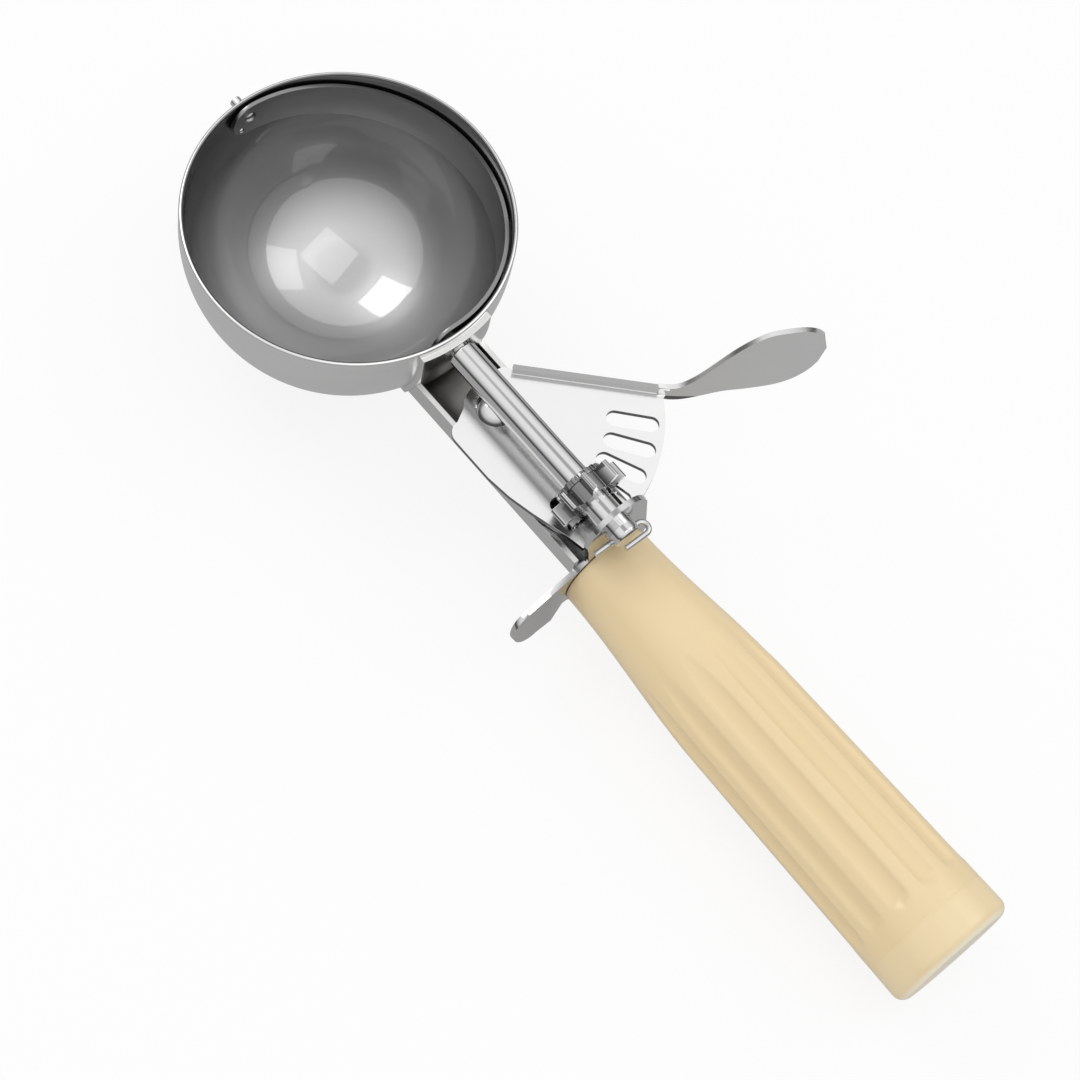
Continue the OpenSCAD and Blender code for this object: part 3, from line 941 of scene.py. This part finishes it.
@dataclass
class BowlShell:
    """The bowl: a spun sheet steel half ball with a straight band and a rounded rim. Sizes are in mm.

    Attributes:
        outer_r: Outer radius.
        wall: Sheet thickness.
        lip: Height of the straight band above the axis.
        band_row: Share of that height at which a ring of points divides the band.
        arcs: Number of steps from the bottom of the bowl to its axis.
        bends: Number of steps around the rounded rim.
        steps: Number of steps around the bowl.
    """

    outer_r: float = 34.0
    wall: float = 1.0
    lip: float = 4.6
    band_row: float = 0.4
    arcs: int = 64
    bends: int = 8
    steps: int = 192

    def outline(self) -> list[tuple[float, float]]:
        """Give the outline from the inside's bottom over the rim to the outside's bottom.

        Returns:
            Pairs of radius and height over the axis, in mm.
        """
        inner_r = self.outer_r - self.wall
        half = self.wall / 2
        band, rim = self.lip * self.band_row, self.lip - half
        turns = [math.pi / 2 * i / self.arcs for i in range(self.arcs + 1)]
        bends = [math.pi * i / self.bends for i in range(1, self.bends)]
        rows = [(inner_r * math.sin(turn), -inner_r * math.cos(turn)) for turn in turns]
        rows += [(inner_r, band), (inner_r, rim)]
        rows += [(inner_r + half - half * math.cos(bend), rim + half * math.sin(bend)) for bend in bends]
        rows += [(self.outer_r, rim), (self.outer_r, band)]
        rows += [(self.outer_r * math.sin(turn), -self.outer_r * math.cos(turn)) for turn in reversed(turns)]
        return rows

    def build(self, finish: Material) -> Object:
        """Build the shell, dress it and let it stand for its node.

        Args:
            finish: The bowl's material.

        Returns:
            The dressed bowl.
        """
        shape = bmesh.new()
        edges = strung(shape, [tool_point(out, 0, height) for out, height in self.outline()])
        turned(shape, edges, tool_point(0, 0, 0), Vector((0, 0, 1)), self.steps)
        made = grown(shape, "bowl_shell", finish, sharp=50.0)
        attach(made, "frame")
        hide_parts("bowl")
        return made


@dataclass
class ReturnSpring:
    """The wire spring around the lever's spacer. Sizes are in mm.

    Attributes:
        pivot_x: Distance from the bowl's centre to the lever's pivot.
        coil_r: Radius of the wire's middle line.
        wire: Wire diameter.
        turns: Number of curls.
        low: Height of the first curl's middle line.
        pitch: Rise of one curl.
        start: Angle in degrees where the coil starts.
        leg_low: Length of the leg that rests in the channel.
        leg_high: Length of the leg that the lever's hook pushes.
        steps: Number of steps around one curl.
    """

    pivot_x: float = 47.3
    coil_r: float = 4.6
    wire: float = 1.0
    turns: float = 3.25
    low: float = -13.35
    pitch: float = 1.415
    start: float = 225.0
    leg_low: float = 3.2
    leg_high: float = 3.3
    steps: int = 40

    def path(self) -> list[Vector]:
        """Give the wire's middle line.

        Returns:
            Its points in the part's frame, from the lower leg's end to the upper leg's.
        """
        points = []
        for step in range(int(self.turns * self.steps) + 1):
            turn = math.radians(self.start - 360 * step / self.steps)
            ahead, aside = self.coil_r * math.cos(turn), self.coil_r * math.sin(turn)
            points.append(tool_point(self.pivot_x + ahead, aside, self.low + self.pitch * step / self.steps))
        eighth = self.steps // 8
        first = (points[0] - points[eighth]).normalized() * self.leg_low * MM
        last = (points[-1] - points[-1 - eighth]).normalized() * self.leg_high * MM
        return [points[0] + first] + points + [points[-1] + last]

    def wire_mesh(self) -> bpy.types.Mesh:
        """Draw the round wire along its middle line.

        Returns:
            The wire as a mesh.
        """
        curve = bpy.data.curves.new("spring_wire", "CURVE")
        curve.dimensions = "3D"
        curve.bevel_depth = self.wire / 2 * MM
        curve.bevel_resolution = 3
        curve.use_fill_caps = True
        points = self.path()
        spline = curve.splines.new("POLY")
        spline.points.add(len(points) - 1)
        for point, place in zip(spline.points, points):
            point.co = (*place, 1.0)
        holder = bpy.data.objects.new("spring_holder", curve)
        bpy.context.scene.collection.objects.link(holder)
        bpy.context.view_layer.update()
        mesh = bpy.data.meshes.new_from_object(holder.evaluated_get(bpy.context.evaluated_depsgraph_get()))
        bpy.data.objects.remove(holder)
        return mesh

    def build(self, finish: Material) -> Object:
        """Build the spring, dress it and let it stand for its node.

        Args:
            finish: The spring's material.

        Returns:
            The dressed spring.
        """
        shape = bmesh.new()
        shape.from_mesh(self.wire_mesh())
        bmesh.ops.remove_doubles(shape, verts=shape.verts, dist=WELD)
        bmesh.ops.recalc_face_normals(shape, faces=shape.faces)
        made = grown(shape, "spring_coil", finish, sharp=50.0)
        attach(made, "frame")
        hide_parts("return_spring")
        return made


@dataclass
class PhotoCamera:
    """The camera, where the photograph was taken from.

    Attributes:
        focal_px: Focal length in pixels of the photograph.
        photo_px: Width of the photograph in pixels.
        sensor: Width of the sensor in mm.
        eye: Place in mm from the bowl's centre.
        azimuth: Direction in degrees from which it looks, counted from +X towards +Y.
        elevation: Angle in degrees by which that direction stands over the floor.
        roll: Turn in degrees around its line of sight.
    """

    focal_px: float = 2843.5
    photo_px: float = 1080.0
    sensor: float = 36.0
    eye: tuple[float, float, float] = (206.38, -210.987, 495.647)
    azimuth: float = -56.531
    elevation: float = 64.531
    roll: float = 17.526

    def build(self) -> None:
        """Set the camera up and look through it."""
        data = bpy.data.cameras.new("view_camera")
        data.sensor_width = self.sensor
        data.sensor_fit = "HORIZONTAL"
        data.lens = self.focal_px / self.photo_px * self.sensor
        data.clip_start = 0.01
        made = bpy.data.objects.new("view_camera", data)
        place = Matrix.Translation(tool_point(*self.eye))
        for degrees, axis in ((self.azimuth + 90, "Z"), (90 - self.elevation, "X"), (self.roll, "Z")):
            place = place @ Matrix.Rotation(math.radians(degrees), 4, axis)
        made.matrix_world = place
        bpy.context.scene.collection.objects.link(made)
        bpy.context.scene.camera = made


@dataclass(frozen=True)
class Lamp:
    """One soft square lamp that faces the scoop.

    Attributes:
        name: Name of the lamp.
        place: Its place.
        size: Length of its side.
        watts: Its power.
        aim: The point that it faces.
    """

    name: str
    place: tuple[float, float, float]
    size: float
    watts: float
    aim: tuple[float, float, float] = (-0.1, 0.0, 0.0)

    def build(self) -> None:
        """Hang the lamp."""
        light = bpy.data.lights.new(self.name, "AREA")
        light.shape = "SQUARE"
        light.size = self.size
        light.energy = self.watts
        made = bpy.data.objects.new(self.name, light)
        made.location = self.place
        made.rotation_euler = (Vector(self.place) - Vector(self.aim)).to_track_quat("Z", "Y").to_euler()
        bpy.context.scene.collection.objects.link(made)


@dataclass
class Studio:
    """The pale floor, the even light around it and the lamps.

    Attributes:
        floor_z: Height of the floor.
        floor_half: Half the floor's side.
        floor_x: Place of the floor's middle along X.
        floor_tone: Linear colour of the floor.
        floor_glow: Share of plain white in what the camera sees of the floor.
        floor_dim: Brightness of the floor in a reflection.
        sky: Heights and colours of the surroundings that the metal reflects.
        sky_level: Strength of those surroundings.
        even_level: Strength of the even light on matt surfaces.
        lamps: The lamps.
    """

    floor_z: float = -0.0163
    floor_half: float = 3.0
    floor_x: float = -0.1
    floor_tone: Color = grey(0.86)
    floor_glow: float = 0.85
    floor_dim: float = 0.4
    sky: tuple[tuple[float, Color], ...] = (
        (0.0, grey(0.08)), (0.2, (0.1, 0.1, 0.102)), (0.42, (0.62, 0.62, 0.63)), (0.7, grey(0.95)),
        (0.925, grey(1.0)), (0.96, grey(0.5)), (1.0, grey(0.42)))
    sky_level: float = 1.08
    even_level: float = 0.82
    lamps: tuple[Lamp, ...] = (
        Lamp("key_lamp", (-0.85, -0.1, 0.85), 0.5, 1.9),
        Lamp("fill_lamp", (0.2, 0.75, 0.85), 0.6, 1.2),
        Lamp("top_lamp", (0.1, 0.05, 1.25), 0.7, 1.4),
    )

    def floor_material(self) -> Material:
        """Build the floor's material: white to the camera, dimmer in reflections, matt to the light.

        Returns:
            The new material.
        """
        made, wiring = blank_material("studio_floor")
        path = wiring.node("ShaderNodeLightPath")
        seen = Signal(wiring, path.outputs["Is Camera Ray"])
        through = Signal(wiring, path.outputs["Is Transmission Ray"])
        glossy = Signal(wiring, path.outputs["Is Glossy Ray"])
        matt = wiring.node("ShaderNodeBsdfDiffuse", None, {"Color": opaque(self.floor_tone)})
        bright = wiring.node("ShaderNodeEmission", None, {"Color": WHITE, "Strength": 1.0})
        dim = wiring.node("ShaderNodeEmission", None, {"Color": WHITE, "Strength": self.floor_dim})
        white = wiring.mixed_shader((seen + through).clamped() * self.floor_glow, matt, bright)
        mixed = wiring.mixed_shader(glossy * self.floor_glow, white, dim)
        wiring.node("ShaderNodeOutputMaterial", None, {0: mixed})
        return made

    def build_floor(self) -> None:
        """Lay a wide pale floor that keeps the object's shadow."""
        shape = bmesh.new()
        bmesh.ops.create_grid(shape, x_segments=4, y_segments=4, size=self.floor_half)
        bmesh.ops.translate(shape, verts=shape.verts, vec=(self.floor_x, 0, self.floor_z))
        made = self.floor_material()
        grown(shape, "studio_floor", made)

    def build_world(self) -> None:
        """Give even soft light, a dark horizon in the metal, and white behind the object."""
        world = bpy.data.worlds.new("studio_world")
        bpy.context.scene.world = world
        world.use_nodes = True
        wiring = Wiring(world.node_tree)
        path = wiring.node("ShaderNodeLightPath")
        direction = wiring.node("ShaderNodeTexCoord").outputs["Generated"]
        height = Signal(wiring, wiring.node("ShaderNodeSeparateXYZ", None, {0: direction}).outputs[2])
        level = wiring.node("ShaderNodeValToRGB", {"stops": self.sky}, {0: height.clamped()})
        reflected = wiring.node("ShaderNodeBackground", None, {"Color": level, "Strength": self.sky_level})
        even = wiring.node("ShaderNodeBackground", None, {"Color": WHITE, "Strength": self.even_level})
        white = wiring.node("ShaderNodeBackground", None, {"Color": WHITE, "Strength": 1.0})
        lit = wiring.mixed_shader(path.outputs["Is Glossy Ray"], even, reflected)
        mixed = wiring.mixed_shader(path.outputs["Is Camera Ray"], lit, white)
        wiring.node("ShaderNodeOutputWorld", None, {0: mixed})

    def build(self) -> None:
        """Set the stage."""
        bpy.context.scene.view_settings.view_transform = "Standard"
        self.build_floor()
        self.build_world()
        for lamp in self.lamps:
            lamp.build()
        PhotoCamera().build()


@dataclass(frozen=True)
class SteelWork:
    """All steel pieces that keep the frame's forms, with their finishes and bodies.

    Attributes:
        steels: The steel finishes, four of them with painted shade.
        pieces: The pieces.
    """

    steels: tuple[SteelFinish, ...] = (
        BowlFinishAndPaintedShade("bowl_polish_painted_shade", grey(0.56), roughness=0.42, spread=0.05, grain=Grain.SPUN,
                   depth=0.0000015, pitch=1500.0, shine=0.9),
        SteelFinish("strip_polish", grey(0.24), roughness=0.34, spread=0.05, grain=Grain.PRESSED,
                    depth=0.0000015, pitch=1500.0, shine=0.5),
        SteelFinish("sheet_satin", (0.74, 0.74, 0.73), roughness=0.24, spread=0.1),
        LeverFinishAndPaintedShade("lever_bright_painted_shade", (0.86, 0.86, 0.855), roughness=0.2, spread=0.08),
        ChannelFinishAndPaintedShade("channel_satin_painted_shade", (0.74, 0.74, 0.73), roughness=0.22, spread=0.1),
        SteelFinish("plate_polish", grey(0.66), roughness=0.14, spread=0.08, grain=Grain.PRESSED,
                    depth=0.000002, pitch=1800.0),
        SteelFinish("bar_bright", grey(0.72), roughness=0.06, spread=0.05, grain=Grain.TURNED,
                    depth=0.0000015, pitch=2600.0),
        PinionFinishAndPaintedShade("pinion_bright_painted_shade", grey(0.74), roughness=0.1, spread=0.06, grain=Grain.TURNED,
                     depth=0.0000015, pitch=2600.0),
        SteelFinish("spring_dark", (0.36, 0.36, 0.37), roughness=0.3, spread=0.12, grain=Grain.PRESSED,
                    pitch=1600.0),
    )
    pieces: tuple[SoftenedPiece, ...] = (
        SoftenedPiece("bowl_saddle", "frame", "satin_steel", "sheet_satin", edge=0.0002),
        SoftenedPiece("shank_channel", "frame", "satin_steel", "channel_satin_painted_shade", edge=0.0002),
        SoftenedPiece("guard_plate", "frame", "polished_steel", "plate_polish", edge=0.0002),
        SoftenedPiece("tang", "frame", "hard_steel", "spring_dark", edge=0.0002),
        SoftenedPiece("tang_rivets", "frame", "hard_steel", "plate_polish"),
        SoftenedPiece("pivot_rivet", "frame", "polished_steel", "bar_bright"),
        SoftenedPiece("pivot_spacer", "frame", "hard_steel", "spring_dark", edge=0.0001),
        SoftenedPiece("pivot_washer", "frame", "hard_steel", "plate_polish", edge=0.0001),
        SoftenedPiece("thumb_lever", "lever", "satin_steel", "lever_bright_painted_shade", edge=0.00015),
        SoftenedPiece("drive_shaft", "scraper", "bright_plate", "bar_bright"),
        SoftenedPiece("drive_pinion", "scraper", "bright_plate", "pinion_bright_painted_shade", edge=0.00012),
        SoftenedPiece("retaining_clip", "scraper", "hard_steel", "plate_polish"),
        SoftenedPiece("scraper_strip", "scraper", "polished_steel", "strip_polish", edge=0.00012),
        SoftenedPiece("front_pivot_pin", "scraper", "polished_steel", "bar_bright", edge=0.0001),
        SoftenedPiece("strip_rivet", "scraper", "polished_steel", "bar_bright"),
    )

    def finishes(self) -> dict[str, Material]:
        """Build the steel finishes by name."""
        return {steel.name: steel.material() for steel in self.steels}

    def build(self, nodes: dict[str, Object], finishes: dict[str, Material]) -> None:
        """Build every piece and report it."""
        for piece in self.pieces:
            report(piece.build(nodes[piece.node], finishes[piece.finish]))


def report(made: Object) -> None:
    """Log a finished piece."""
    LOG.info("%s: %d faces", made.name, len(made.data.polygons))


def main() -> None:
    """Build the scoop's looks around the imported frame."""
    logging.basicConfig(level=logging.INFO, format="%(name)s: %(message)s")
    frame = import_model()
    nodes = frame["nodes"]
    Studio().build()
    steel = SteelWork()
    finishes = steel.finishes()
    steel.build(nodes, finishes)
    report(BowlShell().build(finishes["bowl_polish_painted_shade"]))
    report(ReturnSpring().build(finishes["spring_dark"]))
    ivory = IvoryFinish("ivory_resin_gloss", color=(0.80, 0.62, 0.355), pale=(0.84, 0.70, 0.45),
                        warm=(0.77, 0.55, 0.27), face=(0.88, 0.8, 0.62))
    resin = ivory.material()
    report(HandleGrip().build(resin))
    plug = SoftenedPiece("handle_plug", "frame", "ivory_resin", ivory.name, edge=0.0002)
    report(plug.build(nodes[plug.node], resin))


if __name__ == "__main__":
    main()
